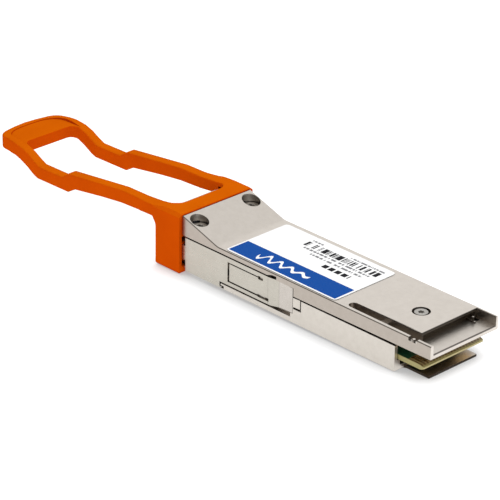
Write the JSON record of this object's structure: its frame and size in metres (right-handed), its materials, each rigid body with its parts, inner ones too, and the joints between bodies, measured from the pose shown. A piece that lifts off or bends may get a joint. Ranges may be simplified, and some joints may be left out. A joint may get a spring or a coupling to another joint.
{
  "type": "optical transceiver module",
  "caption": "Pluggable optical transceiver: plated metal housing with fibre ports in a raised nose, card-edge connector, sliding latch and an orange pull tab.",
  "frame": {"origin": "on the bottom face at mid width, below the line where the nose's ramp meets the flat top", "axes": "+Y from the fibre ports to the card edge, +Z from the bottom face to the heat-sink face, X across the module"},
  "size_m": [0.02, 0.1254, 0.0129],
  "materials": {
    "plated_zinc": "satin nickel plating on die-cast zinc",
    "spring_steel": "nickel-plated stamped sheet",
    "screw_steel": "plated",
    "orange_plastic": "satin moulded",
    "label_film": "printed film",
    "port_plastic": "glass-filled, satin",
    "barrel_steel": "turned",
    "ceramic": "ground zirconia",
    "gold_package": "gold-plated",
    "flex_film": "polyimide",
    "board_laminate": "solder mask over glass laminate",
    "contact_gold": "hard gold plating",
    "chip_plastic": "moulded epoxy",
    "ferrite": "sintered",
    "crystal_can": "seam-sealed can",
    "capacitor_ceramic": "ceramic",
    "thermal_pad": "soft filled silicone",
    "gasket_foam": "conductive foam"
  },
  "bodies": {
    "housing": {"upper_shell": "plated_zinc", "lower_shell": "plated_zinc", "nose_screw_right": "screw_steel", "nose_screw_left": "screw_steel", "rear_screw": "screw_steel", "product_label": "label_film", "lc_port_block": "port_plastic", "transmitter_barrel": "barrel_steel", "receiver_barrel": "barrel_steel", "transmitter_ferrule_sleeve": "ceramic", "receiver_ferrule_sleeve": "ceramic", "transmitter_optics_package": "gold_package", "receiver_optics_package": "gold_package", "transmitter_flex_circuit": "flex_film", "receiver_flex_circuit": "flex_film", "optics_clamp": "spring_steel", "main_board": "board_laminate", "edge_contacts_top": "contact_gold", "edge_contacts_bottom": "contact_gold", "laser_driver_chip": "chip_plastic", "receiver_chip": "chip_plastic", "microcontroller": "chip_plastic", "voltage_regulator": "chip_plastic", "power_inductor": "ferrite", "reference_crystal": "crystal_can", "bulk_capacitor_left": "capacitor_ceramic", "bulk_capacitor_right": "capacitor_ceramic", "bottom_memory_chip": "chip_plastic", "coupling_capacitor_row": "capacitor_ceramic", "driver_thermal_pad": "thermal_pad", "receiver_thermal_pad": "thermal_pad", "upper_foam_gasket": "gasket_foam", "lower_foam_gasket": "gasket_foam", "slider_spring_right": "spring_steel", "slider_spring_left": "spring_steel"},
    "latch": {"latch_slider": "spring_steel", "pull_tab": "orange_plastic"}
  },
  "joints": [
    {"name": "latch_slide", "type": "slide", "parent": "housing", "child": "latch", "axis": [0, -1, 0], "range_m": [0, 0.002], "stiffness_N_per_m": 900, "springref_m": -0.001, "deforming": ["slider_spring_right", "slider_spring_left"]}
  ]
}
